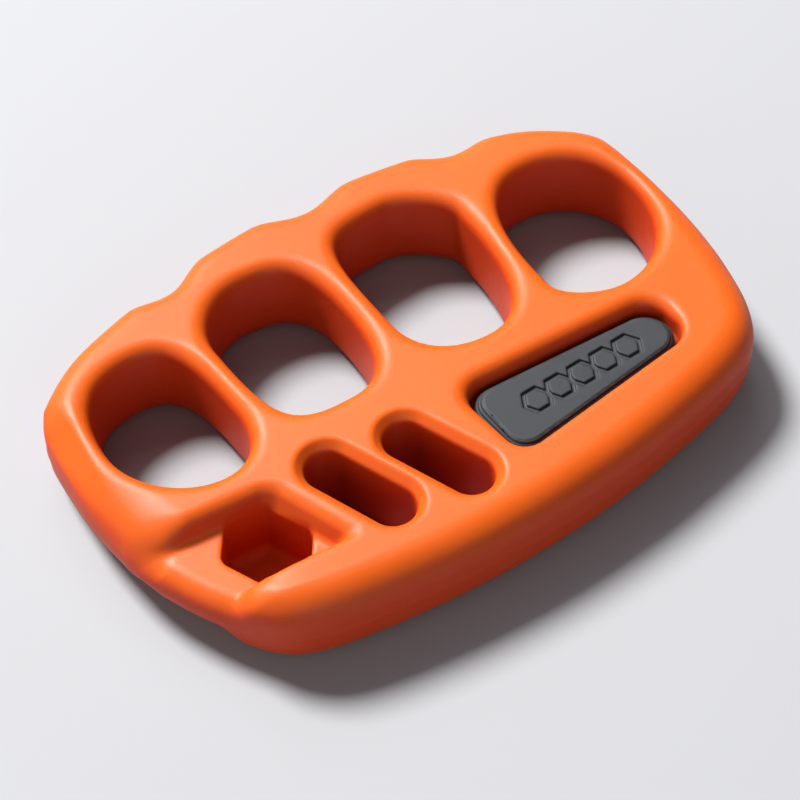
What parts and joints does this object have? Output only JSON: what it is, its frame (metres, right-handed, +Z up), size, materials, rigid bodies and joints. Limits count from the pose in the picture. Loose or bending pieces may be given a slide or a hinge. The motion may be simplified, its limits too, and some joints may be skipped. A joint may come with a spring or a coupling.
{
  "type": "four-finger grip exerciser",
  "caption": "Flat moulded grip body with a row of rounded finger holes, slanted slots, a groove with a hexagonal socket and a tapered soft insert on each face.",
  "frame": {"origin": "under the middle of the object, on the surface that it lies on", "axes": "+X along the row of finger holes towards the end with the tapered inserts, +Y away from the palm, +Z up through the thickness"},
  "size_m": [0.1148, 0.0779, 0.016],
  "materials": {
    "orange_polymer": "satin moulded polymer",
    "charcoal_rubber": "fine matte grain",
    "clear_adhesive": "thin adhesive film"
  },
  "bodies": {
    "root": {"grip_body": "orange_polymer", "front_bond": "clear_adhesive", "front_insert": "charcoal_rubber", "rear_bond": "clear_adhesive", "rear_insert": "charcoal_rubber"}
  },
  "joints": []
}
